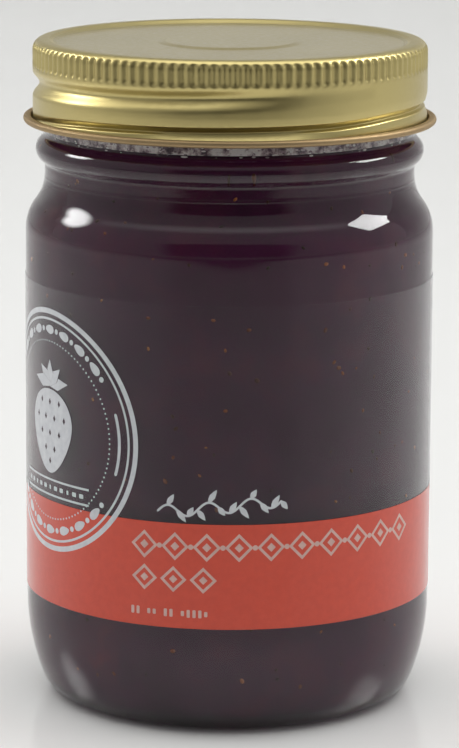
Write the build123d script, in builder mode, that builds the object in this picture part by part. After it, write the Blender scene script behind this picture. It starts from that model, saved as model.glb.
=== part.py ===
# Pint glass jar of fruit jam with a gold screw cap and a clear wrap label.
# Millimetres, +Z up. The origin is the centre of the ring the jar stands on.
from build123d import *
from math import acos, asin, atan2, cos, degrees, hypot, pi, radians, sin, sqrt
import os

os.makedirs("parts", exist_ok=True)

# ---------------------------------------------------------------- driving sizes
# glass jar, outside
body_r = 39.2            # straight body
heel_arc_r = 42.0        # long curve that draws the body in towards the base
heel_top_z = 18.6        # where that curve leaves the straight body
heel_corner_r = 5.5      # corner between the long curve and the base
stand_inner_r = 29.2     # inner edge of the flat ring the jar stands on
push_up_r = 27.6         # outer edge of the hollow under the base
push_up_h = 3.0          # depth of that hollow at the centre
shoulder_z = 90.75       # where the shoulder leaves the straight body
neck_r = 35.48           # neck below the bead
shoulder_arc_r = 8.92    # both arcs of the S-shaped shoulder
bead_z = 106.3           # centre of the glass bead under the cap
bead_centre_r = 34.66
bead_arc_r = 2.53
bead_root_r = 0.9        # fillets where the bead meets the neck
finish_r = 35.1          # plain barrel of the finish, under the cap
lip_z = 126.0            # top of the sealing lip
lip_corner_r = 1.1

# glass jar, inside
wall = 2.5               # body wall
floor_z = 2.8            # inner floor at its edge
floor_dome_h = 2.8       # rise of the inner floor at its centre, it follows the hollow
inner_heel_r = 9.0
mouth_r = 32.3           # inside of the neck and mouth

# screw thread of the finish and of the cap, one start, right-handed
pitch = 6.86
groove_z_left = 118.9    # height of the cap's rolled groove on the -X side
groove_from = -45.0      # where the groove starts and ends, degrees from +X
groove_to = 238.0
groove_depth = 1.32
groove_half_h = 2.2
ridge_from = -100.0      # the same for the glass thread, half a pitch above it
ridge_to = 250.0
ridge_h = 1.25           # how far the glass thread stands out
ridge_half_h = 1.15

# cap, one piece of sheet metal
sheet = 0.35
panel_z = 126.5          # top face of the recessed panel
button_r = 13.1
button_h = 0.30
rim_inner_r = 33.9
rim_z = 127.2            # crest of the rim, the highest point
cap_corner_r = 1.9
cap_r = 37.7             # outside of the skirt
knurl_count = 124
knurl_depth = 0.42
knurl_z0 = 122.3
knurl_z1 = 125.2
curl_r = 39.5            # outside of the small rolled bottom edge
curl_z0 = 111.25
curl_z1 = 112.65
curl_lip_r = 38.65       # where the rolled edge ends, clear of the skirt

# contents and label
jam_level_z = 108.7
film = 0.12
film_z0 = 21.35
film_z1 = 82.3
film_gap_deg = 5.0       # where the two ends of the wrap stop short, at the back


def groove_z(angle):
    """Height of the middle of the cap's groove at an angle from +X."""
    return groove_z_left + pitch * (angle - 180) / 360


def coil(r, z, a0, a1):
    """One stretch of the thread's helix, from angle a0 to a1, starting at height z."""
    turns = (a1 - a0) / 360
    return Wire([Helix(pitch, pitch * turns, r, center=(0, 0, z),
                       mode=Mode.PRIVATE).rotate(Axis.Z, a0)])


def coil_plane(path, a0):
    """Plane across the start of a helix, with its X pointing away from the axis."""
    return Plane(path @ 0, x_dir=(cos(radians(a0)), sin(radians(a0)), 0), z_dir=path % 0)


def on_circle(centre, r, angle):
    a = radians(angle)
    return (centre[0] + r * cos(a), centre[1] + r * sin(a))


def arc(centre, r, a0, a1):
    """Arc in the (radius, height) plane, by centre, radius and angles."""
    return ThreePointArc(on_circle(centre, r, a0),
                         on_circle(centre, r, (a0 + a1) / 2),
                         on_circle(centre, r, a1))


# ---------------------------------------------------------------- jar outline
heel_centre = (body_r - heel_arc_r, heel_top_z)
corner_gap = heel_arc_r - heel_corner_r
corner_dz = heel_top_z - heel_corner_r
corner_centre = (heel_centre[0] + sqrt(corner_gap ** 2 - corner_dz ** 2), heel_corner_r)
heel_angle = degrees(atan2(-corner_dz, corner_centre[0] - heel_centre[0]))

shoulder_turn = degrees(acos(1 - (body_r - neck_r) / (2 * shoulder_arc_r)))
shoulder_dz = 2 * shoulder_arc_r * sin(radians(shoulder_turn))
shoulder_low = (body_r - shoulder_arc_r, shoulder_z)
shoulder_high = (neck_r + shoulder_arc_r, shoulder_z + shoulder_dz)


def bead_end(side_r):
    """Half height of the bead where its arc, eased by the root fillet, meets side_r."""
    reach = bead_arc_r + bead_root_r
    run = side_r + bead_root_r - bead_centre_r
    turn = degrees(acos(run / reach))
    return turn, sqrt(reach ** 2 - run ** 2)


low_turn, low_dz = bead_end(neck_r)
high_turn, high_dz = bead_end(finish_r)

with BuildPart() as jar:
    with BuildSketch(Plane.XZ) as jar_section:
        with BuildLine():
            # underside, from the axis out
            dome_r = (push_up_r ** 2 + (push_up_h - 0.35) ** 2) / (2 * (push_up_h - 0.35))
            ThreePointArc((0, push_up_h),
                          (push_up_r / 2, push_up_h - dome_r + sqrt(dome_r ** 2 - (push_up_r / 2) ** 2)),
                          (push_up_r, 0.35))
            Line((push_up_r, 0.35), (stand_inner_r, 0))
            Line((stand_inner_r, 0), (corner_centre[0], 0))
            # heel, body, shoulder
            arc(corner_centre, heel_corner_r, -90, heel_angle)
            arc(heel_centre, heel_arc_r, heel_angle, 0)
            Line((body_r, heel_top_z), (body_r, shoulder_z))
            arc(shoulder_low, shoulder_arc_r, 0, shoulder_turn)
            arc(shoulder_high, shoulder_arc_r, 180 + shoulder_turn, 180)
            Line((neck_r, shoulder_high[1]), (neck_r, bead_z - low_dz))
            # bead between two root fillets
            arc((neck_r + bead_root_r, bead_z - low_dz), bead_root_r, 180, 180 - low_turn)
            arc((bead_centre_r, bead_z), bead_arc_r, -low_turn, high_turn)
            arc((finish_r + bead_root_r, bead_z + high_dz), bead_root_r, 180 + high_turn, 180)
            # finish and lip
            Line((finish_r, bead_z + high_dz), (finish_r, lip_z - lip_corner_r))
            arc((finish_r - lip_corner_r, lip_z - lip_corner_r), lip_corner_r, 0, 90)
            Line((finish_r - lip_corner_r, lip_z), (mouth_r + lip_corner_r, lip_z))
            arc((mouth_r + lip_corner_r, lip_z - lip_corner_r), lip_corner_r, 90, 180)
            # inside, from the mouth down
            inner_body_r = body_r - wall
            fall = inner_body_r - mouth_r
            inner_arc_r = shoulder_arc_r
            inner_turn = degrees(acos(1 - fall / (2 * inner_arc_r)))
            inner_dz = 2 * inner_arc_r * sin(radians(inner_turn))
            inner_high_z = shoulder_z + shoulder_dz - 0.4
            Line((mouth_r, lip_z - lip_corner_r), (mouth_r, inner_high_z))
            arc((mouth_r + inner_arc_r, inner_high_z), inner_arc_r, 180, 180 + inner_turn)
            arc((inner_body_r - inner_arc_r, inner_high_z - inner_dz), inner_arc_r, inner_turn, 0)
            Line((inner_body_r, inner_high_z - inner_dz), (inner_body_r, floor_z + inner_heel_r))
            arc((inner_body_r - inner_heel_r, floor_z + inner_heel_r), inner_heel_r, 0, -90)
            floor_r = inner_body_r - inner_heel_r
            floor_arc = (floor_r ** 2 + floor_dome_h ** 2) / (2 * floor_dome_h)
            ThreePointArc((floor_r, floor_z),
                          (floor_r / 2, floor_z + floor_dome_h - floor_arc
                           + sqrt(floor_arc ** 2 - (floor_r / 2) ** 2)),
                          (0, floor_z + floor_dome_h))
            Line((0, floor_z + floor_dome_h), (0, push_up_h))
        make_face()
    revolve(axis=Axis.Z)
    # glass thread: it rides half a pitch above the cap's groove
    ridge = coil(finish_r - 0.3, groove_z(ridge_from) + pitch / 2, ridge_from, ridge_to)
    with BuildSketch(coil_plane(ridge, ridge_from)):
        with BuildLine():
            Polyline((0, -ridge_half_h), (ridge_h + 0.3, -0.35), (ridge_h + 0.3, 0.35),
                     (0, ridge_half_h), close=True)
        make_face()
    sweep(path=ridge, is_frenet=True)

# ---------------------------------------------------------------- jam
with BuildPart() as jam:
    with BuildSketch(Plane.XZ):
        with BuildLine():
            ThreePointArc((0, floor_z + floor_dome_h),
                          (floor_r / 2, floor_z + floor_dome_h - floor_arc
                           + sqrt(floor_arc ** 2 - (floor_r / 2) ** 2)),
                          (floor_r, floor_z))
            arc((inner_body_r - inner_heel_r, floor_z + inner_heel_r), inner_heel_r, -90, 0)
            Line((inner_body_r, floor_z + inner_heel_r), (inner_body_r, inner_high_z - inner_dz))
            arc((inner_body_r - inner_arc_r, inner_high_z - inner_dz), inner_arc_r, 0, inner_turn)
            arc((mouth_r + inner_arc_r, inner_high_z), inner_arc_r, 180 + inner_turn, 180)
            Line((mouth_r, inner_high_z), (mouth_r, jam_level_z))
            Line((mouth_r, jam_level_z), (0, jam_level_z))
            Line((0, jam_level_z), (0, floor_z + floor_dome_h))
        make_face()
    revolve(axis=Axis.Z)

# ---------------------------------------------------------------- label
with BuildPart() as label:
    with BuildSketch(Plane.XY.offset(film_z0)):
        Circle(body_r + film)
        Circle(body_r, mode=Mode.SUBTRACT)
        with BuildLine():
            reach = body_r * 1.5
            half = radians(film_gap_deg / 2)
            Polyline((0, 0), (reach * sin(half), reach * cos(half)),
                     (-reach * sin(half), reach * cos(half)), (0, 0))
        make_face(mode=Mode.SUBTRACT)
    extrude(amount=film_z1 - film_z0)

# ---------------------------------------------------------------- cap
mid = sheet / 2


def cap_path():
    """Mid-line of the sheet in the (radius, height) plane, from the axis to the lip."""
    return FilletPolyline(
        (0, panel_z + button_h - mid),
        (button_r - 0.6, panel_z + button_h - mid),
        (button_r + 0.6, panel_z - mid),
        (rim_inner_r - 0.5, panel_z - mid),
        (rim_inner_r + 0.5, rim_z - mid),
        (cap_r - mid, rim_z - mid),
        (cap_r - mid, curl_z0 + mid),
        (curl_r - mid, curl_z0 + mid),
        (curl_r - mid, curl_z1 - mid),
        (curl_lip_r, curl_z1 - mid),
        radius=[0.6, 0.6, 0.5, 0.5, cap_corner_r - mid, 0.6, 0.5, 0.5])


with BuildPart() as lid:
    with BuildSketch(Plane.XZ) as cap_section:
        with BuildLine() as cap_line:
            cap_path()
        trace(line_width=sheet)
        # a sheet this thin is doubled behind the knurls, where it is pressed in and out
        with BuildLine():
            Polyline((cap_r - 1.0, knurl_z0 - 0.6), (cap_r - 0.1, knurl_z0 - 0.6),
                     (cap_r - 0.1, knurl_z1 + 0.4), (cap_r - 1.0, knurl_z1 + 0.4),
                     (cap_r - 1.0, knurl_z0 - 0.6))
        make_face()
    revolve(axis=Axis.Z)
    # rolled thread: the sheet is pressed in along a helix, so it is first backed inside
    bead = coil(cap_r, groove_z(groove_from - 4), groove_from - 4, groove_to + 4)
    with BuildSketch(coil_plane(bead, groove_from - 4)):
        with BuildLine():
            ThreePointArc((-0.15, groove_half_h + 0.3), (-groove_depth - sheet, 0),
                          (-0.15, -groove_half_h - 0.3))
            Line((-0.15, -groove_half_h - 0.3), (-0.15, groove_half_h + 0.3))
        make_face()
    sweep(path=bead, is_frenet=True)
    groove = coil(cap_r, groove_z(groove_from), groove_from, groove_to)
    with BuildSketch(coil_plane(groove, groove_from)):
        with BuildLine():
            ThreePointArc((0.1, groove_half_h), (-groove_depth, 0), (0.1, -groove_half_h))
            Line((0.1, -groove_half_h), (0.1, groove_half_h))
        make_face()
    sweep(path=groove, is_frenet=True, mode=Mode.SUBTRACT)
    # knurls: flutes pressed into the band under the rim
    with BuildSketch(Plane.XY.offset(knurl_z0)) as flutes:
        Circle(cap_r + 2)
        with BuildLine():
            pts = []
            for i in range(2 * knurl_count):
                r = cap_r + 0.02 if i % 2 == 0 else cap_r - knurl_depth
                a = pi * i / knurl_count
                pts.append((r * cos(a), r * sin(a)))
            Polyline(*pts, close=True)
        make_face(mode=Mode.SUBTRACT)
    extrude(amount=knurl_z1 - knurl_z0, mode=Mode.SUBTRACT)

for name, piece in (("jar", jar), ("jam", jam), ("label", label), ("lid", lid)):
    piece.part.label = name
    export_step(piece.part, f"parts/{name}.step")
    print(name, "volume", round(piece.part.volume / 1000, 2), "ml", "valid", piece.part.is_valid)
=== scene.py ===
import bpy
import math
import random
import numpy as np
from math import acos, atan2, cos, degrees, pi, radians, sin, sqrt
from mathutils import Matrix, Vector
from mathutils.geometry import delaunay_2d_cdt


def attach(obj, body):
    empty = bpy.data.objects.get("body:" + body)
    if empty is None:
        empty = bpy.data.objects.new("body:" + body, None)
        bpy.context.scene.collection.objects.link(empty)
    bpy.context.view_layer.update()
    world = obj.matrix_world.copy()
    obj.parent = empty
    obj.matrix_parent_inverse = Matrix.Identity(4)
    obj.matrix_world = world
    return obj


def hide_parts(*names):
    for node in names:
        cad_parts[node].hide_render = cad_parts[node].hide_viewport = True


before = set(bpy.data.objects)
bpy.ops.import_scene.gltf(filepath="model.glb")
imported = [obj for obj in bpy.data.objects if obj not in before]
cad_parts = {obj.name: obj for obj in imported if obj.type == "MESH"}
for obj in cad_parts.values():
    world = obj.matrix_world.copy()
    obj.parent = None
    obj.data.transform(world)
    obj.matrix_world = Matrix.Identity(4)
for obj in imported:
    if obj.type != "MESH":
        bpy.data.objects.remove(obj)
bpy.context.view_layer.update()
MM = 0.001
scene = bpy.context.scene
scene.view_settings.view_transform = "Standard"
scene.view_settings.look = "None"

# =====================================================================
# sizes, in millimetres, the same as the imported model's
# =====================================================================
body_r, heel_arc_r, heel_top_z, heel_corner_r = 39.2, 42.0, 18.6, 5.5
stand_inner_r, push_up_r, push_up_h = 29.2, 27.6, 3.0
shoulder_z, neck_r, shoulder_arc_r = 90.75, 35.48, 8.92
bead_z, bead_centre_r, bead_arc_r, bead_root_r = 106.3, 34.66, 2.53, 0.9
finish_r, lip_z, lip_corner_r = 35.1, 126.0, 1.1
wall, floor_z, floor_dome_h, inner_heel_r, mouth_r = 2.5, 2.8, 2.8, 9.0, 32.3
pitch, groove_z_left = 6.86, 118.9
sheet, panel_z, button_r, button_h = 0.35, 126.5, 13.1, 0.30
rim_inner_r, rim_z, cap_corner_r, cap_r = 33.9, 127.2, 1.9, 37.7
knurl_count, knurl_depth = 124, 0.42
curl_r, curl_z0, curl_z1, curl_lip_r = 39.5, 111.25, 112.65, 38.65
jam_level_z = 108.7
film, film_z0, film_z1, film_gap_deg = 0.12, 21.35, 82.3, 5.0
band_z1 = 41.4


# =====================================================================
# small tools
# =====================================================================
def arc_pts(centre, r, a0, a1, step=None, n=None):
    """Points along an arc in the (radius, height) plane."""
    if n is None:
        n = max(3, int(abs(a1 - a0) / (step or 6)) + 1)
    return [(centre[0] + r * cos(radians(a0 + (a1 - a0) * i / (n - 1))),
             centre[1] + r * sin(radians(a0 + (a1 - a0) * i / (n - 1)))) for i in range(n)]


def line_pts(a, b, step):
    n = max(2, int(math.hypot(b[0] - a[0], b[1] - a[1]) / step) + 1)
    return [(a[0] + (b[0] - a[0]) * i / (n - 1), a[1] + (b[1] - a[1]) * i / (n - 1)) for i in range(n)]


def join(*chains):
    out = []
    for c in chains:
        for p in c:
            if not out or math.hypot(p[0] - out[-1][0], p[1] - out[-1][1]) > 1e-4:
                out.append(p)
    return out


def fillet_path(points, radii, seg=7):
    """A polyline with rounded corners, as points."""
    out = [points[0]]
    for i in range(1, len(points) - 1):
        p0, p1, p2 = (Vector(q) for q in points[i - 1:i + 2])
        d0, d1 = (p0 - p1).normalized(), (p2 - p1).normalized()
        ang = d0.angle(d1)
        r = radii[i - 1]
        cut = r / math.tan(ang / 2)
        a, b = p1 + d0 * cut, p1 + d1 * cut
        mid = (d0 + d1).normalized()
        c = p1 + mid * (r / sin(ang / 2))
        va, vb = a - c, b - c
        turn = va.angle(vb)
        n = max(3, int(degrees(turn) / seg) + 2)
        sign = 1 if va.cross(vb) > 0 else -1
        for k in range(n):
            t = sign * turn * k / (n - 1)
            out.append((c.x + va.x * cos(t) - va.y * sin(t), c.y + va.x * sin(t) + va.y * cos(t)))
    out.append(points[-1])
    return join(out)


def resample(path, step):
    """Adds points so that no run is longer than step."""
    out = [path[0]]
    for a, b in zip(path, path[1:]):
        out += line_pts(a, b, step)[1:]
    return out


def offset_path(path, d):
    """The path moved d to its left."""
    out = []
    for i, p in enumerate(path):
        a = Vector(path[max(0, i - 1)]); b = Vector(path[min(len(path) - 1, i + 1)])
        t = (b - a).normalized()
        out.append((p[0] - t.y * d, p[1] + t.x * d))
    return out


def ring_mesh(name, rings, cap_first=True, cap_last=True):
    """Closed mesh from rings, each (column count, function of the angles -> (r, z) arrays).
    A ring may have a whole multiple of its neighbour's columns. Angles run from -Y, towards +X."""
    verts, starts = [], []
    for n, f in rings:
        a = np.arange(n) * 2 * pi / n
        r, z = f(a)
        r = np.broadcast_to(np.asarray(r, float), a.shape)
        z = np.broadcast_to(np.asarray(z, float), a.shape)
        starts.append((sum(len(v) for v in verts), n))
        verts.append(np.stack([r * np.sin(a), -r * np.cos(a), z], 1))
    faces = []
    for (s0, n0), (s1, n1) in zip(starts, starts[1:]):
        if n0 == n1:
            for i in range(n0):
                j = (i + 1) % n0
                faces.append((s0 + i, s0 + j, s1 + j, s1 + i))
        elif n1 > n0:
            k = n1 // n0
            for i in range(n0):
                j = (i + 1) % n0
                faces.append((s0 + i, s0 + j) + tuple(s1 + (i * k + m) % n1 for m in range(k, -1, -1)))
        else:
            k = n0 // n1
            for i in range(n1):
                j = (i + 1) % n1
                faces.append(tuple(s0 + (i * k + m) % n0 for m in range(k + 1)) + (s1 + j, s1 + i))
    total = sum(len(v) for v in verts)
    if cap_first:
        n, f = rings[0]
        z = float(np.mean(verts[0][:, 2]))
        verts.append(np.array([[0, 0, z]]))
        faces += [(starts[0][0] + (i + 1) % n, starts[0][0] + i, total) for i in range(n)]
        total += 1
    if cap_last:
        s, n = starts[-1]
        z = float(np.mean(verts[len(rings) - 1][:, 2]))
        verts.append(np.array([[0, 0, z]]))
        faces += [(s + i, s + (i + 1) % n, total) for i in range(n)]
    co = np.concatenate(verts) * MM
    return finish_mesh(name, co, faces)


def finish_mesh(name, co, faces, smooth=True):
    me = bpy.data.meshes.new(name)
    me.from_pydata([tuple(c) for c in co], [], [tuple(f) for f in faces])
    me.update()
    ob = bpy.data.objects.new(name, me)
    scene.collection.objects.link(ob)
    if smooth:
        me.polygons.foreach_set("use_smooth", [True] * len(me.polygons))
    return ob


def face_outward(ob):
    import bmesh
    bm = bmesh.new()
    bm.from_mesh(ob.data)
    bmesh.ops.recalc_face_normals(bm, faces=bm.faces)
    bm.to_mesh(ob.data)
    bm.free()


def plain(path, n):
    """Rings of constant radius along a path."""
    return [(n, (lambda a, p=p: (p[0], p[1]))) for p in path]


def smooth01(x):
    x = np.clip(x, 0, 1)
    return x * x * (3 - 2 * x)


# =====================================================================
# materials
# =====================================================================
def material(name):
    m = bpy.data.materials.new(name)
    m.use_nodes = True
    nt = m.node_tree
    return m, nt, nt.nodes["Principled BSDF"]


def add(nt, kind, **inputs):
    n = nt.nodes.new(kind)
    for k, v in inputs.items():
        if hasattr(n, k):
            setattr(n, k, v)
        else:
            n.inputs[k].default_value = v
    return n


def ramp(nt, fac, stops):
    n = nt.nodes.new("ShaderNodeValToRGB")
    n.color_ramp.elements[0].position, n.color_ramp.elements[0].color = stops[0][0], (*stops[0][1], 1)
    n.color_ramp.elements[1].position, n.color_ramp.elements[1].color = stops[-1][0], (*stops[-1][1], 1)
    for pos, col in stops[1:-1]:
        e = n.color_ramp.elements.new(pos)
        e.color = (*col, 1)
    nt.links.new(fac, n.inputs["Fac"])
    return n


def object_coords(nt, scale=(1, 1, 1)):
    tc = nt.nodes.new("ShaderNodeTexCoord")
    mp = nt.nodes.new("ShaderNodeMapping")
    mp.inputs["Scale"].default_value = scale
    nt.links.new(tc.outputs["Object"], mp.inputs["Vector"])
    return mp.outputs["Vector"]


def noise(nt, vec, scale, detail=3.0, rough=0.5):
    n = nt.nodes.new("ShaderNodeTexNoise")
    n.inputs["Scale"].default_value = scale
    n.inputs["Detail"].default_value = detail
    n.inputs["Roughness"].default_value = rough
    nt.links.new(vec, n.inputs["Vector"])
    return n.outputs["Fac"]


def map_range(nt, value, a, b, c, d):
    n = nt.nodes.new("ShaderNodeMapRange")
    n.inputs["From Min"].default_value, n.inputs["From Max"].default_value = a, b
    n.inputs["To Min"].default_value, n.inputs["To Max"].default_value = c, d
    nt.links.new(value, n.inputs["Value"])
    return n.outputs["Result"]


def bump(nt, height, strength, distance):
    n = nt.nodes.new("ShaderNodeBump")
    n.inputs["Strength"].default_value = strength
    n.inputs["Distance"].default_value = distance
    nt.links.new(height, n.inputs["Height"])
    return n.outputs["Normal"]


def make_glass():
    m, nt, b = material("jar_glass")
    b.inputs["Transmission Weight"].default_value = 1.0
    b.inputs["IOR"].default_value = 1.5
    v = object_coords(nt)
    tone = noise(nt, v, 22.0, 2.0)
    c = ramp(nt, tone, [(0.3, (0.955, 0.965, 0.962)), (0.7, (0.985, 0.99, 0.988))])
    nt.links.new(c.outputs["Color"], b.inputs["Base Color"])
    fine = noise(nt, v, 260.0, 2.0)
    nt.links.new(map_range(nt, fine, 0.3, 0.7, 0.0, 0.035), b.inputs["Roughness"])
    # moulded glass is a little wavy, more so round the jar than along it
    wave = noise(nt, object_coords(nt, (1, 1, 0.35)), 55.0, 1.0)
    nt.links.new(bump(nt, wave, 0.16, 0.0006), b.inputs["Normal"])
    return m


def make_jam(name, wet):
    m, nt, b = material(name)
    v = object_coords(nt)
    soft = noise(nt, v, 60.0, 4.0, 0.6)
    pulp = ramp(nt, soft, [(0.28, (0.055, 0.0097, 0.0355)), (0.50, (0.070, 0.0128, 0.0455)),
                           (0.66, (0.096, 0.0156, 0.0465)), (0.82, (0.170, 0.0235, 0.0460))])
    nt.links.new(pulp.outputs["Color"], b.inputs["Base Color"])
    lumps = noise(nt, v, 150.0, 3.0, 0.5)
    nt.links.new(map_range(nt, lumps, 0.3, 0.7, 0.25 if wet else 0.42, 0.45 if wet else 0.62), b.inputs["Roughness"])
    b.inputs["IOR"].default_value = 1.42 if wet else 1.06
    nt.links.new(bump(nt, lumps, 0.5 if wet else 0.15, 0.0008), b.inputs["Normal"])
    return m


def make_gold(name, rough_low, rough_high, coat, low=(0.495, 0.410, 0.168), high=(0.540, 0.452, 0.195)):
    m, nt, b = material(name)
    b.inputs["Metallic"].default_value = 1.0
    v = object_coords(nt)
    tone = noise(nt, v, 45.0, 3.0)
    c = ramp(nt, tone, [(0.28, low), (0.72, high)])
    nt.links.new(c.outputs["Color"], b.inputs["Base Color"])
    speck = noise(nt, v, 900.0, 4.0, 0.65)
    nt.links.new(map_range(nt, speck, 0.3, 0.7, rough_low, rough_high), b.inputs["Roughness"])
    b.inputs["Coat Weight"].default_value = coat
    b.inputs["Coat Roughness"].default_value = 0.16
    b.inputs["Coat IOR"].default_value = 1.5
    nt.links.new(bump(nt, noise(nt, v, 1400.0, 2.0), 0.12, 0.00006), b.inputs["Normal"])
    return m


def make_film():
    m, nt, b = material("clear_film")
    v = object_coords(nt)
    c = ramp(nt, noise(nt, v, 90.0, 2.0), [(0.3, (0.975, 0.975, 0.98)), (0.7, (0.995, 0.995, 1.0))])
    nt.links.new(c.outputs["Color"], b.inputs["Base Color"])
    nt.links.new(map_range(nt, noise(nt, v, 420.0, 3.0), 0.3, 0.7, 0.0, 0.02), b.inputs["Roughness"])
    b.inputs["Transmission Weight"].default_value = 1.0
    b.inputs["IOR"].default_value = 1.0               # it lies close on the glass, so it bends nothing
    b.inputs["Sheen Weight"].default_value = 0.6      # a faint haze, seen where the film turns away
    b.inputs["Sheen Roughness"].default_value = 0.4
    return m


def make_film_edge():
    m, nt, b = material("film_edge")
    v = object_coords(nt)
    c = ramp(nt, noise(nt, v, 160.0, 2.0), [(0.3, (0.42, 0.42, 0.45)), (0.7, (0.60, 0.60, 0.62))])
    nt.links.new(c.outputs["Color"], b.inputs["Base Color"])
    b.inputs["Roughness"].default_value = 0.35
    b.inputs["Alpha"].default_value = 0.22
    return m


def make_ink(name, low, high, rough=0.30, grain=700.0):
    m, nt, b = material(name)
    v = object_coords(nt)
    c = ramp(nt, noise(nt, v, grain, 4.0, 0.6), [(0.32, low), (0.68, high)])
    nt.links.new(c.outputs["Color"], b.inputs["Base Color"])
    nt.links.new(map_range(nt, noise(nt, v, 300.0, 2.0), 0.3, 0.7, rough - 0.05, rough + 0.06), b.inputs["Roughness"])
    nt.links.new(bump(nt, noise(nt, object_coords(nt, (1, 1, 0.4)), 60.0, 1.0), 0.15, 0.0004), b.inputs["Normal"])
    b.inputs["Sheen Weight"].default_value = 0.22
    b.inputs["Sheen Roughness"].default_value = 0.4
    return m


def make_seed():
    m, nt, b = material("seed_skin")
    geo = nt.nodes.new("ShaderNodeNewGeometry")
    c = ramp(nt, geo.outputs["Random Per Island"],
             [(0.0, (0.035, 0.008, 0.008)), (0.45, (0.10, 0.020, 0.012)), (0.8, (0.26, 0.055, 0.022)), (1.0, (0.42, 0.13, 0.05))])
    nt.links.new(c.outputs["Color"], b.inputs["Base Color"])
    nt.links.new(map_range(nt, noise(nt, object_coords(nt), 1500.0, 2.0), 0.3, 0.7, 0.35, 0.6), b.inputs["Roughness"])
    b.inputs["IOR"].default_value = 1.1
    return m


def make_foam():
    m, nt, b = material("foam_skin")
    geo = nt.nodes.new("ShaderNodeNewGeometry")
    c = ramp(nt, geo.outputs["Random Per Island"],
             [(0.0, (0.16, 0.07, 0.10)), (0.4, (0.50, 0.36, 0.40)), (0.75, (0.85, 0.76, 0.76)), (1.0, (0.98, 0.95, 0.93))])
    nt.links.new(c.outputs["Color"], b.inputs["Base Color"])
    nt.links.new(map_range(nt, noise(nt, object_coords(nt), 1200.0, 2.0), 0.3, 0.7, 0.15, 0.4), b.inputs["Roughness"])
    return m


def make_froth():
    m, nt, b = material("froth_skin")
    v = object_coords(nt)
    spots = noise(nt, v, 420.0, 6.0, 0.62)
    c = ramp(nt, spots, [(0.35, (0.030, 0.012, 0.022)), (0.44, (0.16, 0.09, 0.12)), (0.50, (0.52, 0.40, 0.41)), (0.58, (0.95, 0.87, 0.85))])
    nt.links.new(c.outputs["Color"], b.inputs["Base Color"])
    nt.links.new(map_range(nt, spots, 0.3, 0.7, 0.5, 0.25), b.inputs["Roughness"])
    nt.links.new(bump(nt, spots, 0.6, 0.0006), b.inputs["Normal"])
    return m


glass_mat = make_glass()
jam_mat = make_jam("jam_in_glass", False)
jam_top_mat = make_jam("jam_top", True)
gold_mat = make_gold("gold_lacquer", 0.33, 0.41, 0.15)
panel_mat = make_gold("gold_lacquer_panel", 0.30, 0.40, 0.45)
# the rolled edge gets a darker, browner copy of the gold: the darkening is painted shade that dims its highlights
curl_gold_painted_shade_mat = make_gold("gold_lacquer_edge", 0.50, 0.60, 0.0, (0.33, 0.237, 0.126), (0.37, 0.267, 0.147))
film_mat = make_film()
film_edge_mat = make_film_edge()
orange_mat = make_ink("orange_ink", (0.565, 0.058, 0.028), (0.615, 0.065, 0.032), 0.14)
pale_mat = make_ink("pale_ink", (0.54, 0.55, 0.59), (0.64, 0.65, 0.68), 0.2)
warm_mat = make_ink("pale_ink_on_band", (0.56, 0.36, 0.32), (0.64, 0.43, 0.38))
seed_mat = make_seed()
foam_mat = make_foam()
froth_mat = make_froth()

# =====================================================================
# glass jar
# =====================================================================
heel_centre = (body_r - heel_arc_r, heel_top_z)
corner_gap, corner_dz = heel_arc_r - heel_corner_r, heel_top_z - heel_corner_r
corner_centre = (heel_centre[0] + sqrt(corner_gap ** 2 - corner_dz ** 2), heel_corner_r)
heel_angle = degrees(atan2(-corner_dz, corner_centre[0] - heel_centre[0]))
shoulder_turn = degrees(acos(1 - (body_r - neck_r) / (2 * shoulder_arc_r)))
shoulder_dz = 2 * shoulder_arc_r * sin(radians(shoulder_turn))
shoulder_low = (body_r - shoulder_arc_r, shoulder_z)
shoulder_high = (neck_r + shoulder_arc_r, shoulder_z + shoulder_dz)


def bead_end(side_r):
    reach, run = bead_arc_r + bead_root_r, side_r + bead_root_r - bead_centre_r
    return degrees(acos(run / reach)), sqrt(reach ** 2 - run ** 2)


low_turn, low_dz = bead_end(neck_r)
high_turn, high_dz = bead_end(finish_r)
dome_r = (push_up_r ** 2 + (push_up_h - 0.35) ** 2) / (2 * (push_up_h - 0.35))
under = [(r, push_up_h - dome_r + sqrt(dome_r ** 2 - r * r)) for r in np.linspace(1.0, push_up_r, 16)]
outside = join(
    under,
    [(push_up_r, 0.35), (push_up_r + 0.5, 0.24), (stand_inner_r - 0.1, 0.05), (stand_inner_r + 0.35, 0.0)],
    [(30.4, 0.0), (corner_centre[0], 0.0)],
    arc_pts(corner_centre, heel_corner_r, -90, heel_angle, 5),
    arc_pts(heel_centre, heel_arc_r, heel_angle, 0, 1.6),
    line_pts((body_r, heel_top_z), (body_r, shoulder_z), 6.0),
    arc_pts(shoulder_low, shoulder_arc_r, 0, shoulder_turn, 3),
    arc_pts(shoulder_high, shoulder_arc_r, 180 + shoulder_turn, 180, 3),
    line_pts((neck_r, shoulder_high[1]), (neck_r, bead_z - low_dz), 0.8),
    arc_pts((neck_r + bead_root_r, bead_z - low_dz), bead_root_r, 180, 180 - low_turn, 10),
    arc_pts((bead_centre_r, bead_z), bead_arc_r, -low_turn, high_turn, 6),
    arc_pts((finish_r + bead_root_r, bead_z + high_dz), bead_root_r, 180 + high_turn, 180, 12),
)
finish_line = line_pts((finish_r, bead_z + high_dz), (finish_r, lip_z - lip_corner_r), 0.32)
lip = join(
    arc_pts((finish_r - lip_corner_r, lip_z - lip_corner_r), lip_corner_r, 0, 90, 15),
    arc_pts((mouth_r + lip_corner_r, lip_z - lip_corner_r), lip_corner_r, 90, 180, 15))
inner_body_r = body_r - wall
fall = inner_body_r - mouth_r
inner_turn = degrees(acos(1 - fall / (2 * shoulder_arc_r)))
inner_dz = 2 * shoulder_arc_r * sin(radians(inner_turn))
inner_high_z = shoulder_z + shoulder_dz - 0.4
floor_r = inner_body_r - inner_heel_r
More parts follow.
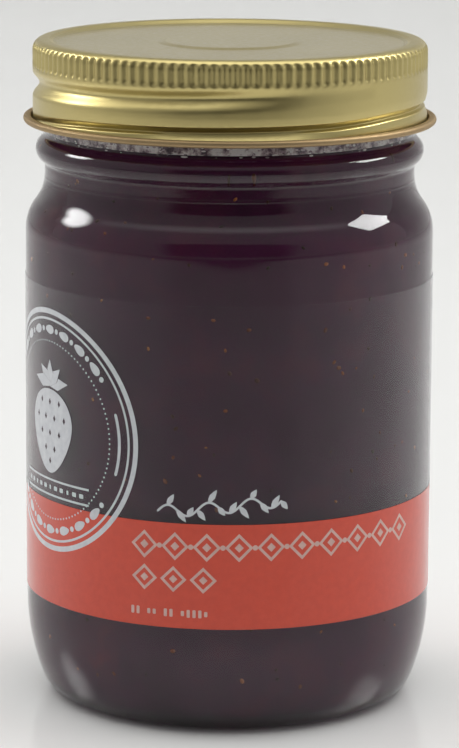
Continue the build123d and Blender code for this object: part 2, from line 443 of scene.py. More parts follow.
floor_arc = (floor_r ** 2 + floor_dome_h ** 2) / (2 * floor_dome_h)
inside = join(
    line_pts((mouth_r, lip_z - lip_corner_r), (mouth_r, inner_high_z), 1.2),
    arc_pts((mouth_r + shoulder_arc_r, inner_high_z), shoulder_arc_r, 180, 180 + inner_turn, 3.5),
    arc_pts((inner_body_r - shoulder_arc_r, inner_high_z - inner_dz), shoulder_arc_r, inner_turn, 0, 3.5),
    line_pts((inner_body_r, inner_high_z - inner_dz), (inner_body_r, floor_z + inner_heel_r), 8.0),
    arc_pts((floor_r, floor_z + inner_heel_r), inner_heel_r, 0, -90, 6),
    [(r, floor_z + floor_dome_h - floor_arc + sqrt(floor_arc ** 2 - r * r)) for r in np.linspace(floor_r, 1.0, 14)])

seam_z = 101.0


def wall_ring(p):
    """Outside of the glass, with the raised line where the neck ring of the mould met the body."""
    return lambda a: (p[0] + 0.04 * np.exp(-((p[1] - seam_z) / 0.16) ** 2), p[1])


def thread_ring(p):
    """Finish of the jar with its one-start thread, hidden by the cap."""
    def f(a):
        t = np.degrees(a) - 90.0                    # angle from +X
        r = np.full(a.shape, p[0])
        for k in (0, 360):
            tt = t + k
            zc = groove_z_left + pitch * (tt - 180) / 360 + pitch / 2
            live = smooth01((tt + 108) / 16) * smooth01((258 - tt) / 16)
            d = np.abs(p[1] - zc)
            r = np.maximum(r, p[0] + 1.2 * live * smooth01((1.2 - d) / 0.85))
        return r, p[1]
    return f


near_seam = [(0, 0)]
dense = []
for a, b in zip(outside, outside[1:]):
    dense.append(a)
    if abs(a[1] - seam_z) < 2.2 and a[0] > 35:
        n = max(1, int(abs(b[1] - a[1]) / 0.08))
        dense += [(a[0] + (b[0] - a[0]) * i / n, a[1] + (b[1] - a[1]) * i / n) for i in range(1, n)]
dense.append(outside[-1])
COLS = 248
rings = [(COLS, wall_ring(p)) for p in dense]
rings += [(COLS, thread_ring(p)) for p in finish_line[1:-1]]
rings += plain(lip, COLS) + plain(inside[1:], COLS)
jar = ring_mesh("glass_jar", rings)
face_outward(jar)
jar.data.materials.append(glass_mat)

# =====================================================================
# jam: it reaches just into the glass wall, so that no air shows between them
# =====================================================================
REACH = 0.10
jam_side = [p for p in inside if p[1] < jam_level_z - 0.05 and p[0] > 1.5]
jam_side = [(mouth_r, jam_level_z + 0.55)] + jam_side
tangent_out = offset_path(jam_side, REACH)
if tangent_out[5][0] < jam_side[5][0]:
    tangent_out = offset_path(jam_side, -REACH)
top_r = np.array([31.95, 31.4, 30.6, 29.4, 27.6, 25.0, 21.5, 17.0, 12.0, 6.5, 2.0])


def jam_top_ring(r0):
    def f(a):
        climb = 0.55 * math.exp(-(mouth_r - r0) / 0.55)
        wob = (0.16 * np.sin(3 * a + 0.7 + r0 * 0.21) + 0.12 * np.sin(7 * a - 1.3 + r0 * 0.43)
               + 0.08 * np.sin(13 * a + 0.4 - r0 * 0.3)) * smooth01((mouth_r - r0) / 3) + 0.10 * math.sin(r0 * 0.9)
        return np.full(a.shape, r0), jam_level_z + climb + wob
    return f


rings = [(COLS, jam_top_ring(float(r))) for r in top_r[::-1]] + plain(tangent_out, COLS)
jam = ring_mesh("jam", rings)
face_outward(jam)
jam.data.materials.append(jam_mat)
jam.data.materials.append(jam_top_mat)
for p in jam.data.polygons:
    if p.center.z > (jam_level_z - 0.4) * MM and math.hypot(p.center.x, p.center.y) < 32.2 * MM:
        p.material_index = 1

# =====================================================================
# cap
# =====================================================================
mid = sheet / 2
cap_mid = fillet_path([
    (2.0, panel_z + button_h - mid), (button_r - 0.7, panel_z + button_h - mid),
    (button_r + 0.7, panel_z - mid), (rim_inner_r - 0.7, panel_z - mid),
    (rim_inner_r + 0.6, rim_z - mid), (cap_r - mid, rim_z - mid),
    (cap_r - mid, curl_z0 + mid), (curl_r - mid, curl_z0 + 0.33 + mid),
    (curl_r - mid, curl_z1 + 0.10 - mid), (curl_lip_r - 0.45, curl_z1 + 0.10 - mid)],
    [0.9, 0.9, 0.8, 0.7, cap_corner_r - mid, 0.6, 0.42, 0.38], seg=11)
# finer where the lower turn of the thread runs
cap_mid = resample(cap_mid, 0.40)
cap_mid = join(*[line_pts(a, b, 0.11 if abs(a[0] - b[0]) < 1e-6 and 112.7 < (a[1] + b[1]) / 2 < 116.6 else 1.0)
                 for a, b in zip(cap_mid, cap_mid[1:])])
# fewer points are needed on the flat panel
cap_mid = [p for i, p in enumerate(cap_mid) if not (p[0] < rim_inner_r - 2 and abs(p[0] - button_r) > 2.2 and i % 4)]
cap_out = offset_path(cap_mid, mid)
cap_in = offset_path(cap_mid, -mid)
if cap_out[0][1] < cap_in[0][1]:
    cap_out, cap_in = cap_in, cap_out
KNURL_Z0, KNURL_Z1 = 122.25, 126.55


def eased_ramp(t, a=0.35, b=0.25):
    """From 0 to 1 in a straight run with rounded ends."""
    t = np.clip(t, 0, 1)
    k = 1 - a / 2 - b / 2
    mid_run = t - a / 2
    end_run = k - (1 - t) ** 2 / (2 * b)
    return np.where(t < a, t * t / (2 * a), np.where(t < 1 - b, mid_run, end_run)) / k


def hump(t):
    """1 in the middle, eased to nothing at -1 and 1."""
    return np.cos(np.clip(t, -1, 1) * pi / 2) ** 2


def groove_push(a, z):
    """How far the skirt is pressed in by the rolled thread at angle a and height z."""
    t = np.degrees(a) - 90.0                          # angle from +X, -90 at the front
    # upper turn: full on the left, it fades from the front towards the right
    up = np.where(t < -45, t + 360, t)                # -45 ... 315
    zc = groove_z_left + pitch * (up - 180) / 360 - 0.45 * smooth01((up - 195) / 60)
    live = smooth01((up + 30) / 60) * (1 - 0.92 * smooth01((up - 258) / 40))
    tail = smooth01((up - 195) / 60)                  # towards the front it runs out more gently below
    under = (1 - tail) * hump((zc - z) / 2.45) + tail * (1 - eased_ramp((zc - z) / 2.45, 0.14, 0.46))
    push = (1.34 + 0.12 * tail) * live * np.where(z < zc, under, hump((z - zc) / 2.35))
    # lower turn: a fold that starts on the left, climbs to the right and runs on round the back
    lo = np.where(t > 130, t - 360, t) + 90           # -140 ... 220, 0 at the front
    zc = np.interp(lo, [-110, -70, -48, -30, 0, 30, 44, 53, 90, 140], [111.9, 112.75, 113.45, 113.7, 113.95, 114.2, 114.65, 115.0, 115.3, 116.2])
    live = smooth01((lo + 92) / 60) * (1 - smooth01((lo - 130) / 60))
    above = 0.82 * hump((z - zc) / 1.3) + 0.18 * hump((z - zc) / 2.9)
    ledge = 1 - 0.90 * eased_ramp((zc - z) / 0.42, 0.35, 0.35) - 0.10 * smooth01((zc - z) / 1.5)
    slope = 1 - eased_ramp((zc - z) / 2.1, 0.30, 0.20)
    flat = smooth01((np.abs(lo) - 14) / 22)           # a gentle slope at the front, a ledge to the sides
    below = flat * ledge + (1 - flat) * slope
    push = np.maximum(push, 1.25 * live * np.where(z < zc, below, above))
    return push * smooth01((z - 111.75) / 0.5) * smooth01((123.2 - z) / 1.4)


def knurl_push(a, z):
    along = smooth01((z - KNURL_Z0) / 0.45) * smooth01((KNURL_Z1 - z) / 0.35)
    wave = 0.5 - 0.5 * np.cos(a * knurl_count)
    return knurl_depth * along * wave ** 1.3


def cap_ring(p, inner):
    def f(a):
        r = np.full(a.shape, p[0])
        if cap_r - 1.3 < p[0] < cap_r + 0.05 and 111.7 < p[1] < 123.3:
            r = r - groove_push(a, p[1])
        if p[0] > cap_r - 1.6 and p[1] > KNURL_Z0 - 0.1 and not inner:
            r = r - knurl_push(a, p[1])
        if inner and p[0] > cap_r - 1.0:
            r = r - 0.55 * float(smooth01((p[1] - 121.9) / 0.5)) * float(smooth01((126.0 - p[1]) / 0.8))
        return r, p[1]
    return f


CAP = 248
assert len(cap_out) == len(cap_mid)
KN = knurl_count * 6
rings = []
for i, p in enumerate(cap_out):
    fine = p[0] > cap_r - 1.6 and p[1] > KNURL_Z0 - 0.25 and i > 5
    rings.append((KN if fine else CAP, cap_ring(p, False)))
tip, tip_n = Vector(cap_mid[-1]), (Vector(cap_mid[-1]) - Vector(cap_mid[-2])).normalized()
rings.append((CAP, cap_ring(tuple(tip + tip_n * mid * 0.8), False)))
rings += [(CAP, cap_ring(p, True)) for p in cap_in[::-1]]
cap = ring_mesh("screw_cap", rings)
face_outward(cap)
cap.data.materials.append(gold_mat)
cap.data.materials.append(panel_mat)
cap.data.materials.append(curl_gold_painted_shade_mat)
for p in cap.data.polygons:
    if math.hypot(p.center.x, p.center.y) < (rim_inner_r - 0.2) * MM:
        p.material_index = 1
    # faces of the rolled edge take the painted-shade gold
    elif p.center.z < (curl_z1 + 0.15) * MM and math.hypot(p.center.x, p.center.y) > (cap_r + 0.35) * MM:
        p.material_index = 2

# =====================================================================
# label: one thin clear wrap with its print as fields of colour
# =====================================================================
LR = body_r + film
HALF = radians(180 - film_gap_deg / 2) * LR


def disc(cx, cz, r, n=None):
    n = n or max(10, int(2 * pi * r / 0.35))
    return [(cx + r * cos(2 * pi * i / n), cz + r * sin(2 * pi * i / n)) for i in range(n)]


def stroke(path, width, closed=False):
    """A polygon of that width along a path, with round ends."""
    pts = [Vector(p) for p in path]
    left, right = [], []
    for i, p in enumerate(pts):
        a, b = pts[max(0, i - 1)], pts[min(len(pts) - 1, i + 1)]
        t = (b - a).normalized()
        nrm = Vector((-t.y, t.x)) * width / 2
        left.append(p + nrm); right.append(p - nrm)
    t0 = (pts[0] - pts[1]).normalized(); t1 = (pts[-1] - pts[-2]).normalized()
    end = [pts[-1] + t1 * (width * 0.38) + Vector((-t1.y, t1.x)) * width * 0.25, pts[-1] + t1 * (width * 0.5),
           pts[-1] + t1 * (width * 0.38) - Vector((-t1.y, t1.x)) * width * 0.25]
    beg = [pts[0] + t0 * (width * 0.38) + Vector((-t0.y, t0.x)) * width * 0.25, pts[0] + t0 * (width * 0.5),
           pts[0] + t0 * (width * 0.38) - Vector((-t0.y, t0.x)) * width * 0.25]
    return [tuple(v) for v in left + end + right[::-1] + beg]


def bar(cx, cz, w, h, ang=0.0, round_r=0.0):
    pts = []
    c, s = cos(ang), sin(ang)
    if round_r > 0:
        for qx, qz, a0 in ((1, 1, 0), (-1, 1, 90), (-1, -1, 180), (1, -1, 270)):
            for k in range(4):
                a = radians(a0 + 30 * k)
                pts.append((qx * (w / 2 - round_r) + round_r * cos(a), qz * (h / 2 - round_r) + round_r * sin(a)))
    else:
        pts = [(w / 2, h / 2), (-w / 2, h / 2), (-w / 2, -h / 2), (w / 2, -h / 2)]
    return [(cx + x * c - z * s, cz + x * s + z * c) for x, z in pts]


# shapes: (polygon, paint), a later one lies over an earlier one; paint None is a hole
shapes = []
shapes.append(([(-HALF, film_z0), (HALF, film_z0), (HALF, band_z1), (-HALF, band_z1)], "band"))

# badge: plain rings, a ring of dots, dashes and a fruit in the middle
BX, BZ, BR = -40.5, 55.1, 23.3


def ring_shape(r1, r0, paint="ink"):
    """An annulus as a disc with a hole."""
    shapes.append((disc(BX, BZ, r1), paint))
    shapes.append((disc(BX, BZ, r0), None))


ring_shape(BR, BR - 1.0)
ring_shape(BR - 1.75, BR - 2.2)
for i in range(112):
    a = 2 * pi * i / 112
    shapes.append((disc(BX + 17.1 * cos(a), BZ + 17.1 * sin(a), 0.21, 6), "ink"))
for side in (0, 180):
    span = [radians(side + d) for d in np.linspace(-17, 17, 24)]
    shapes.append((stroke([(BX + 19.3 * cos(a), BZ + 19.3 * sin(a)) for a in span], 0.62), "ink"))
for top in (90, 270):
    for k in range(-7, 8):
        a = radians(top + k * 7.4)
        if k % 2:
            shapes.append((disc(BX + 19.35 * cos(a), BZ + 19.35 * sin(a), 0.55, 10), "ink"))
        else:
            c, s = cos(a), sin(a)
            leaf = []
            for q in range(14):
                u = 2 * pi * q / 14
                x, y = 1.55 * cos(u), 0.85 * sin(u) * (1 - 0.25 * cos(u))
                leaf.append((BX + 19.35 * c + x * -s + y * c, BZ + 19.35 * s + x * c + y * s))
            shapes.append((leaf, "ink"))
# fruit
fruit = []
for q in range(60):
    u = 2 * pi * q / 60
    x = 7.4 * sin(u) * (1 - 0.16 * cos(u) + 0.0)
    y = 7.6 * cos(u) - 0.9 * cos(2 * u)
    if cos(u) < 0:
        x *= (1 - 0.26 * (-cos(u)) ** 1.5)
        y *= 1.12
    fruit.append((BX + x, BZ + 1.2 + y))
shapes.append((fruit, "ink"))
for row, (n, z) in enumerate(((3, 5.2), (4, 2.2), (3, -0.8), (2, -3.8), (1, -6.2))):
    for k in range(n):
        x = (k - (n - 1) / 2) * 3.3
        shapes.append(([(BX + x, BZ + z + 0.2 + 0.75), (BX + x - 0.42, BZ + z + 0.2),
                        (BX + x, BZ + z + 0.2 - 0.62), (BX + x + 0.42, BZ + z + 0.2)], None))
for k in range(5):
    a = radians(90 + (k - 2) * 33)
    tipx, tipz = BX + 6.6 * cos(a) * 1.1, BZ + 9.4 + 4.6 * sin(a) - 1.6 * abs(k - 2) * 0.5
    base = Vector((BX, BZ + 8.9)); end = Vector((tipx, tipz))
    d = end - base; nrm = Vector((-d.y, d.x)).normalized()
    leaf = [base - nrm * 0.5, base + d * 0.45 - nrm * 1.35, end, base + d * 0.45 + nrm * 1.35, base + nrm * 0.5]
    shapes.append(([tuple(v) for v in leaf], "gap"))
    shapes.append(([tuple(base + (v - base) * 0.93) for v in leaf], "ink"))
for z in (-9.6, -12.6):
    shapes.append((bar(BX, BZ + z, 24.0, 0.42), "ink"))
for k in range(-5, 6):
    shapes.append((bar(BX + k * 2.0, BZ - 11.1, 1.15 if k % 3 else 0.6, 0.85, 0, 0.2), "ink"))

# a vine with leaves above the band
vine = [(x, 44.6 + 1.15 * sin((x + 13.3) * 2 * pi / 7.8) + 0.10 * (x + 2)) for x in np.linspace(-13.2, 10.0, 90)]
shapes.append((stroke(vine, 0.42), "ink"))
for i, x in enumerate(np.arange(-11.4, 10.2, 1.95)):
    j = min(range(len(vine)), key=lambda q: abs(vine[q][0] - x))
    base = Vector(vine[j])
    up = 1 if i % 2 == 0 else -1
    a = radians(58 * up if up > 0 else -52)
    length = 2.5 + 0.5 * sin(i * 2.1)
    d = Vector((cos(a), sin(a))) * length
    nrm = Vector((-d.y, d.x)).normalized()
    leaf = [base + d * t + nrm * w for t, w in ((0.0, 0.12), (0.2, 0.42), (0.45, 0.58), (0.75, 0.34), (1.0, 0.0),
                                               (0.75, -0.34), (0.45, -0.58), (0.2, -0.42), (0.0, -0.12))]
    shapes.append(([tuple(v) for v in leaf], "ink"))


# two rows of lozenges on the band
def lozenge(cx, cz, w, h, t):
    shapes.append(([(cx, cz + h / 2), (cx - w / 2, cz), (cx, cz - h / 2), (cx + w / 2, cz)], "warm"))
    k = t * math.hypot(w, h) / (w * h) * 2
    shapes.append(([(cx, cz + h / 2 * (1 - k)), (cx - w / 2 * (1 - k), cz), (cx, cz - h / 2 * (1 - k)),
                    (cx + w / 2 * (1 - k), cz)], "band"))
    shapes.append(([(cx, cz + h / 2 * 0.32), (cx - w / 2 * 0.32, cz), (cx, cz - h / 2 * 0.32), (cx + w / 2 * 0.32, cz)], "warm"))


for k in range(10):
    lozenge(-15.9 + k * 6.02, 37.0, 5.3, 5.4, 0.52)
for k in range(9):
    shapes.append((disc(-12.89 + k * 6.02, 37.0, 0.52, 10), "warm"))
for k in range(3):
    lozenge(-15.9 + k * 5.7, 30.7, 5.1, 5.0, 0.52)
for k, w in enumerate((1.0, 1.0, 0.0, 0.7, 0.7, 0.0, 1.1, 1.1, 0.0, 0.8, 1.1, 1.1, 1.1, 0.8)):
    if w:
        shapes.append((bar(-18.3 + k * 1.1, 24.2, 0.62, 1.5 if w > 0.9 else 1.0, 0, 0.18), "warm"))


def inside_poly(poly, x, z):
    inside_ = np.zeros(x.shape, bool)
    px, pz = poly[-1]
    for qx, qz in poly:
        cross = (qz > z) != (pz > z)
        if cross.any():
            with np.errstate(divide="ignore", invalid="ignore"):
                at = (px - qx) * (z - qz) / ((pz - qz) if pz != qz else 1e-12) + qx
            inside_ ^= cross & (x < at)
        px, pz = qx, qz
    return inside_


def build_label():
    pts, edges = [], []

    def add_loop(loop, closed=True):
        s = len(pts)
        pts.extend(Vector(p) for p in loop)
        n = len(loop)
        edges.extend((s + i, s + (i + 1) % n) for i in range(n if closed else n - 1))

    steps = 236
    xs = np.linspace(-HALF, HALF, steps + 1)
    add_loop([(-HALF, film_z0), (HALF, film_z0), (HALF, film_z1), (-HALF, film_z1)])
    for x in xs[1:-1]:
        add_loop([(x, film_z0), (x, film_z1)], False)
    add_loop([(-HALF, band_z1), (HALF, band_z1)], False)
    for poly, paint in shapes[1:]:
        add_loop(poly)
    out = delaunay_2d_cdt(pts, edges, [], 1, 1e-4)
    v2 = np.array([tuple(p) for p in out[0]])
    tris = [f for f in out[2] if len(f) == 3]
    tri = np.array(tris)
    cen = v2[tri].mean(1)
    paint_of = np.zeros(len(tri), int)                       # 0 clear, 1 band, 2 ink, 3 warm ink
    on_band = cen[:, 1] < band_z1
    paint_of[on_band] = 1
    code = {"band": 1, "ink": 2, "warm": 3}
    for poly, paint in shapes[1:]:
        p = np.array(poly)
        box = ((cen[:, 0] >= p[:, 0].min()) & (cen[:, 0] <= p[:, 0].max())
               & (cen[:, 1] >= p[:, 1].min()) & (cen[:, 1] <= p[:, 1].max()))
        idx = np.nonzero(box)[0]
        if not len(idx):
            continue
        hit = idx[inside_poly(poly, cen[idx, 0], cen[idx, 1])]
        if paint in (None, "gap"):
            paint_of[hit] = np.where(on_band[hit], 1, 0)
        else:
            paint_of[hit] = code[paint]
    n = len(v2)
    th = v2[:, 0] / LR
    r_in = body_r - 0.07
    outer = np.stack([LR * np.sin(th), -LR * np.cos(th), v2[:, 1]], 1)
    inner = np.stack([r_in * np.sin(th), -r_in * np.cos(th), v2[:, 1]], 1)
    # orient triangles outwards
    a, b, c = v2[tri[:, 0]], v2[tri[:, 1]], v2[tri[:, 2]]
    flip = ((b - a)[:, 0] * (c - a)[:, 1] - (b - a)[:, 1] * (c - a)[:, 0]) < 0
    tri[flip] = tri[flip][:, ::-1]
    count = {}
    for t in tri.tolist():
        for i in range(3):
            count[(t[i], t[(i + 1) % 3])] = 1
    rim = [e for e in count if (e[1], e[0]) not in count]
    faces = [tuple(t) for t in tri.tolist()] + [tuple(n + i for i in reversed(t)) for t in tri.tolist()]
    faces += [(e[1], e[0], n + e[0], n + e[1]) for e in rim]
    ob = finish_mesh("wrap_label", np.concatenate([outer, inner]) * MM, faces)
    for m in (film_mat, orange_mat, pale_mat, warm_mat, film_edge_mat):
        ob.data.materials.append(m)
    idx = np.concatenate([paint_of, np.zeros(len(tri), int), np.full(len(rim), 4)])
    ob.data.polygons.foreach_set("material_index", idx.astype(np.int32))
    smooth = np.concatenate([np.ones(2 * len(tri), bool), np.zeros(len(rim), bool)])
    ob.data.polygons.foreach_set("use_smooth", smooth)
    co = np.concatenate([outer, inner])
    nrm = np.stack([np.concatenate([np.sin(th), -np.sin(th)]), np.concatenate([-np.cos(th), np.cos(th)]),
                    np.zeros(2 * n)], 1)
    loops = np.zeros(len(ob.data.loops), int)
    ob.data.loops.foreach_get("vertex_index", loops)
    ln = nrm[loops].copy()
    at = 0
    for p in ob.data.polygons:
        if p.index >= 2 * len(tri):
            for q in p.loop_indices:
                ln[q] = p.normal
    ob.data.normals_split_custom_set(ln.tolist())
    return ob


label = build_label()

# =====================================================================
# seeds in the jam, foam on top of it and smears in the neck
# =====================================================================
jam_profile = sorted(((p[1], p[0]) for p in tangent_out), key=lambda q: q[0])
pz = np.array([q[0] for q in jam_profile]); pr = np.array([q[1] for q in jam_profile])


def jam_radius(z):
    return float(np.interp(z, pz, pr))


def blob(level):
    import bmesh
    bm = bmesh.new()
    bmesh.ops.create_icosphere(bm, subdivisions=level, radius=1.0)
    v = np.array([tuple(x.co) for x in bm.verts])
    f = [[x.index for x in g.verts] for g in bm.faces]
    bm.free()
    return v, f


def scatter(name, items, level, mat):
    """items: (centre, three axes as rows scaled to the half sizes)."""
    v, f = blob(level)
    verts, faces = [], []
    for i, (c, axes) in enumerate(items):
        verts.append(v @ axes + c)
        s = i * len(v)
        faces.extend([[s + q for q in g] for g in f])
    ob = finish_mesh(name, np.concatenate(verts) * MM, faces)
    ob.data.materials.append(mat)
    return ob


rng = random.Random(41)


def wall_item(z, th, sizes, sink, spin):
    r = jam_radius(z)
    slope = (jam_radius(z + 0.5) - jam_radius(z - 0.5))
    n = Vector((sin(th), -cos(th), -slope)).normalized()
    t = Vector((cos(th), sin(th), 0))
    b = n.cross(t).normalized()
    t2, b2 = t * cos(spin) + b * sin(spin), -t * sin(spin) + b * cos(spin)
    c = Vector((r * sin(th), -r * cos(th), z)) - n * sink
    axes = np.array([tuple(t2 * sizes[0]), tuple(b2 * sizes[1]), tuple(n * sizes[2])])
    return np.array(tuple(c)), axes


seeds = []
for i in range(340):
    z = rng.uniform(9, 106)
    th = rng.uniform(-pi, pi)
    L = rng.uniform(0.34, 0.62)
    sizes = (L, L * rng.uniform(0.6, 0.8), L * 0.55)
    seeds.append(wall_item(z, th, sizes, sizes[2] * rng.uniform(0.15, 0.8), rng.uniform(0, pi)))
seed_ob = scatter("seeds", seeds, 2, seed_mat)

foam = []
for i in range(900):
    th = rng.uniform(-pi, pi)
    rr = mouth_r - 0.1 - abs(rng.gauss(0, 1.0)) * 1.6
    s = rng.uniform(0.12, 0.5) * (1.0 if rng.random() < 0.85 else 1.5)
    c = np.array((rr * sin(th), -rr * cos(th), jam_level_z + 0.05 + rng.uniform(-0.1, 0.25)))
    e = s * rng.uniform(0.55, 0.9)
    foam.append((c, np.diag((s, s * rng.uniform(0.8, 1.2), e))))
for i in range(620):
    # smears left on the inside of the neck
    th = rng.uniform(-pi, pi)
    z = jam_level_z + 0.2 + abs(rng.gauss(0, 1)) * 1.4
    s = rng.uniform(0.12, 0.42)
    n = Vector((sin(th), -cos(th), 0)); t = Vector((cos(th), sin(th), 0))
    c = Vector((mouth_r * sin(th), -mouth_r * cos(th), z)) - n * 0.04
    axes = np.array([tuple(t * s * rng.uniform(1.0, 2.4)), (0, 0, s), tuple(n * 0.12)])
    foam.append((np.array(tuple(c)), axes))
foam_ob = scatter("foam", foam, 2, foam_mat)

def foam_wall(z, base, edge):
    """Skin of froth that clings to the inside of the neck, thin, with a ragged top edge."""
    def f(a):
        ragged = (0.5 * np.sin(5 * a + 0.6) + 0.35 * np.sin(11 * a + 2.1) + 0.25 * np.sin(23 * a - 0.8)
                  + 0.2 * np.sin(41 * a + 1.7))
        lump = 0.10 * np.sin(37 * a + z * 3) + 0.08 * np.sin(61 * a - z * 4) + 0.06 * np.sin(97 * a + z * 7)
        return base + (0.0 if base > mouth_r else 1.0) * lump, z + edge * ragged
    return f


collar = ring_mesh("froth", [(COLS, foam_wall(108.3, mouth_r + 0.05, 0.0)), (COLS, foam_wall(109.5, mouth_r + 0.05, 0.25)),
                             (COLS, foam_wall(110.7, mouth_r + 0.05, 0.6)), (COLS, foam_wall(112.0, mouth_r + 0.05, 0.9)),
                             (COLS, foam_wall(112.3, mouth_r - 0.25, 0.9)), (COLS, foam_wall(110.7, mouth_r - 0.5, 0.6)),
                             (COLS, foam_wall(109.5, mouth_r - 0.6, 0.25)), (COLS, foam_wall(108.3, mouth_r - 0.6, 0.0)),
                             (COLS, foam_wall(108.3, mouth_r + 0.05, 0.0))], False, False)
import bmesh
bm = bmesh.new()
bm.from_mesh(collar.data)
bmesh.ops.remove_doubles(bm, verts=bm.verts, dist=1e-7)
bm.to_mesh(collar.data)
bm.free()
face_outward(collar)
collar.data.materials.append(froth_mat)

# =====================================================================
# what each piece rides on and stands for
# =====================================================================
for ob, node, slot in ((jar, "jar", "glass"), (jam, "jam", "jam"), (label, "label", "label_film"), (cap, "lid", "cap_metal")):
    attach(ob, "root")
    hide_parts(node)
for ob in (seed_ob, foam_ob, collar):
    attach(ob, "root")

# =====================================================================
# floor, backdrop, cards, lights, camera
# =====================================================================
def stage_plane(name, corners, mat):
    me = bpy.data.meshes.new(name)
    me.from_pydata(corners, [], [tuple(range(len(corners)))])
    ob = bpy.data.objects.new(name, me)
    scene.collection.objects.link(ob)
    ob.data.materials.append(mat)
    return ob


def make_sweep():
    """A pale floor that curves up into the backdrop."""
    m, nt, b = material("studio_sweep")
    v = object_coords(nt)
    c = ramp(nt, noise(nt, v, 3.0, 2.0), [(0.3, (0.925, 0.925, 0.915)), (0.7, (0.935, 0.935, 0.925))])
    nt.links.new(c.outputs["Color"], b.inputs["Base Color"])
    # painted light and shade on the floor: its colour is scaled along Y, brightest in a pool round the jar and at the
    # foot of the backdrop, dimmer between them and towards the camera, and near black from 0.66 m in front
    sep = nt.nodes.new("ShaderNodeSeparateXYZ")
    nt.links.new(v, sep.inputs[0])
    painted_light_tones = [(-1.0, 0.05), (-0.659, 0.08), (-0.593, 0.78), (-0.252, 0.81), (-0.076, 0.99), (0.0, 1.0), (0.056, 0.985), (0.166, 0.955),
             (0.32, 0.92), (0.50, 0.91), (0.64, 0.935), (0.80, 0.965), (1.0, 0.99), (1.28, 1.0), (1.5, 0.98), (2.4, 0.94)]
    painted_light_by_y = ramp(nt, map_range(nt, sep.outputs["Y"], -1.0, 2.4, 0.0, 1.0),
                [((y + 1.0) / 3.4, (t,) * 3) for y, t in painted_light_tones]).outputs["Color"]
    # the painted light scales the paper's own colour
    mul = nt.nodes.new("ShaderNodeMix")
    mul.data_type = "RGBA"
    mul.blend_type = "MULTIPLY"
    mul.inputs["Factor"].default_value = 1.0
    nt.links.new(c.outputs["Color"], mul.inputs["A"])
    nt.links.new(painted_light_by_y, mul.inputs["B"])
    nt.links.new(mul.outputs["Result"], b.inputs["Base Color"])
    b.inputs["Roughness"].default_value = 0.09
    b.inputs["IOR"].default_value = 1.6
    drop = -0.00012                                  # a hair of air under the glass
    prof = [(-2.4, drop), (1.5, drop)]                # room for a camera behind the jar
    for k in range(1, 25):
        a = radians(90 * k / 24)
        prof.append((1.5 + 0.9 * sin(a), drop + 0.9 - 0.9 * cos(a)))
    prof.append((2.4, 5.0))
    verts, faces = [], []
    for y, z in prof:
        verts += [(-4.5, y, z), (4.5, y, z)]
    for i in range(len(prof) - 1):
        faces.append((2 * i, 2 * i + 1, 2 * i + 3, 2 * i + 2))
    ob = finish_mesh("studio_sweep", np.array(verts), faces)
    ob.data.materials.append(m)
    return ob


make_sweep()


def glow(name, strength, tint=(1, 1, 1)):
    m = bpy.data.materials.new(name)
    m.use_nodes = True
    nt = m.node_tree
    nt.nodes.clear()
    e = nt.nodes.new("ShaderNodeEmission")
    e.inputs["Color"].default_value = (*tint, 1)
    e.inputs["Strength"].default_value = strength
    o = nt.nodes.new("ShaderNodeOutputMaterial")
    nt.links.new(e.outputs[0], o.inputs[0])
    return m


def reflect_only(ob):
    ob.visible_camera = False
    ob.visible_diffuse = False
    ob.visible_shadow = False
    return ob


def card_facing(name, direction, distance, w, h, mat, target=Vector((0, 0, 0.09))):
    d = Vector(direction).normalized()
    c = target + d * distance
    side = d.cross(Vector((0, 0, 1))).normalized()
    up = side.cross(d).normalized()
    q = [c + side * sx * w / 2 + up * sz * h / 2 for sx, sz in ((-1, -1), (1, -1), (1, 1), (-1, 1))]
    return reflect_only(stage_plane(name, [tuple(p) for p in q], mat))


# dark room behind the camera: seen only in reflections
def glow_faded(name, inner, outer, half_w, soft):
    """Emission of strength inner that eases to outer at the ends of the card."""
    m = glow(name, inner)
    nt = m.node_tree
    e = [n for n in nt.nodes if n.type == "EMISSION"][0]
    sep = nt.nodes.new("ShaderNodeSeparateXYZ")
    nt.links.new(object_coords(nt), sep.inputs[0])
    ab = nt.nodes.new("ShaderNodeMath")
    ab.operation = "ABSOLUTE"
    nt.links.new(sep.outputs["X"], ab.inputs[0])
    mr = nt.nodes.new("ShaderNodeMapRange")
    mr.interpolation_type = "SMOOTHSTEP"
    mr.inputs["From Min"].default_value, mr.inputs["From Max"].default_value = half_w - soft, half_w
    mr.inputs["To Min"].default_value, mr.inputs["To Max"].default_value = inner, outer
    nt.links.new(ab.outputs[0], mr.inputs["Value"])
    nt.links.new(mr.outputs["Result"], e.inputs["Strength"])
    return m


WORLD = 0.62
WORLD_FRONT = 0.31
CEILING = 1.42
card_facing("card_front", (0, -1, 0.27), 1.7, 3.2, 0.95, glow_faded("dark_room", 0.045, 0.42, 1.6, 0.7))

# soft boxes
def softbox(name, direction, distance, size, power, target=Vector((0, 0, 0.09))):
    l = bpy.data.lights.new(name, "AREA")
    l.shape = "RECTANGLE"
    l.size, l.size_y = size
    l.energy = power
    ob = bpy.data.objects.new(name, l)
    d = Vector(direction).normalized()
    ob.location = target + d * distance
    ob.rotation_euler = d.to_track_quat("Z", "Y").to_euler()
    scene.collection.objects.link(ob)
    return ob


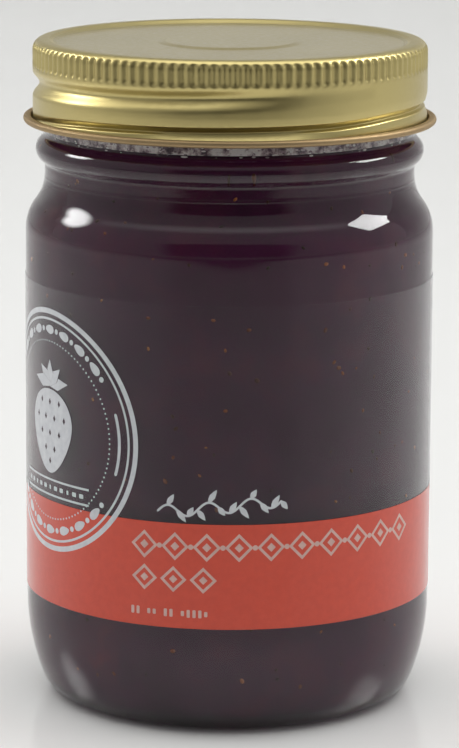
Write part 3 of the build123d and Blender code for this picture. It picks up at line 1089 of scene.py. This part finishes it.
for box in (softbox("soft_left", (-0.736, 0.465, 0.494), 0.95, (0.90, 0.90), 2.6),
            softbox("soft_right", (0.741, 0.184, 0.644), 0.95, (0.90, 0.90), 2.6)):
    box.visible_glossy = False
    box.visible_transmission = False
def soft_panel(name, direction, distance, size, strength, target=Vector((0, 0, 0.09))):
    """A lamp seen in reflections, bright in the middle and eased to the room's level at its rim."""
    m = glow(name + "_glow", strength)
    nt = m.node_tree
    e = [n for n in nt.nodes if n.type == "EMISSION"][0]
    off = nt.nodes.new("ShaderNodeVectorMath")
    off.operation = "SUBTRACT"
    nt.links.new(object_coords(nt), off.inputs[0])
    off.inputs[1].default_value = target + Vector(direction).normalized() * distance
    ln = nt.nodes.new("ShaderNodeVectorMath")
    ln.operation = "LENGTH"
    nt.links.new(off.outputs["Vector"], ln.inputs[0])
    mr = nt.nodes.new("ShaderNodeMapRange")
    mr.interpolation_type = "SMOOTHSTEP"
    mr.inputs["From Min"].default_value, mr.inputs["From Max"].default_value = size * 0.20, size * 0.5
    mr.inputs["To Min"].default_value, mr.inputs["To Max"].default_value = strength, WORLD
    nt.links.new(ln.outputs["Value"], mr.inputs["Value"])
    nt.links.new(mr.outputs["Result"], e.inputs["Strength"])
    card_facing(name, direction, distance, size, size, m, target).visible_transmission = False


soft_panel("panel_left", (-0.812, 0.310, 0.494), 0.95, 0.40, 13.0)
card_facing("panel_right", (0.748, 0.195, 0.634), 0.95, 0.36, 0.38, glow("panel_glow_right", 12.0)).visible_transmission = False

w = bpy.data.worlds.new("studio")
scene.world = w
w.use_nodes = True
wn = w.node_tree
tc = wn.nodes.new("ShaderNodeTexCoord")
sp = wn.nodes.new("ShaderNodeSeparateXYZ")
wn.links.new(tc.outputs["Generated"], sp.inputs[0])
side = wn.nodes.new("ShaderNodeMapRange")             # dimmer from the camera's side
side.inputs["From Min"].default_value, side.inputs["From Max"].default_value = -1.0, 0.3
side.inputs["To Min"].default_value, side.inputs["To Max"].default_value = WORLD_FRONT, WORLD
wn.links.new(sp.outputs["Y"], side.inputs["Value"])
dot = wn.nodes.new("ShaderNodeVectorMath")            # a soft ceiling light, a little behind the top
dot.operation = "DOT_PRODUCT"
dot.inputs[1].default_value = (0.0, 0.30, 0.954)
wn.links.new(tc.outputs["Generated"], dot.inputs[0])
top = wn.nodes.new("ShaderNodeMapRange")
top.interpolation_type = "SMOOTHSTEP"
top.inputs["From Min"].default_value, top.inputs["From Max"].default_value = 0.60, 0.82
top.inputs["To Min"].default_value, top.inputs["To Max"].default_value = 0.0, CEILING
wn.links.new(dot.outputs["Value"], top.inputs["Value"])
both = wn.nodes.new("ShaderNodeMath")
both.operation = "ADD"
wn.links.new(top.outputs["Result"], both.inputs[0])
wn.links.new(side.outputs["Result"], both.inputs[1])
wn.nodes["Background"].inputs["Color"].default_value = (1.0, 1.0, 0.99, 1)
wn.links.new(both.outputs[0], wn.nodes["Background"].inputs["Strength"])

cam_data = bpy.data.cameras.new("camera")
cam = bpy.data.objects.new("camera", cam_data)
scene.collection.objects.link(cam)
cam_data.sensor_width = 36.0
cam_data.lens = 3714.15 / 748 * 36.0
cam_data.clip_start, cam_data.clip_end = 0.01, 20
cam.matrix_world = (Matrix.Translation(Vector((0.000187, -0.70649, 0.205965)))
                    @ Matrix.Rotation(radians(90 - 11.5264), 4, "X") @ Matrix.Rotation(radians(0.310), 4, "Z"))
scene.camera = cam
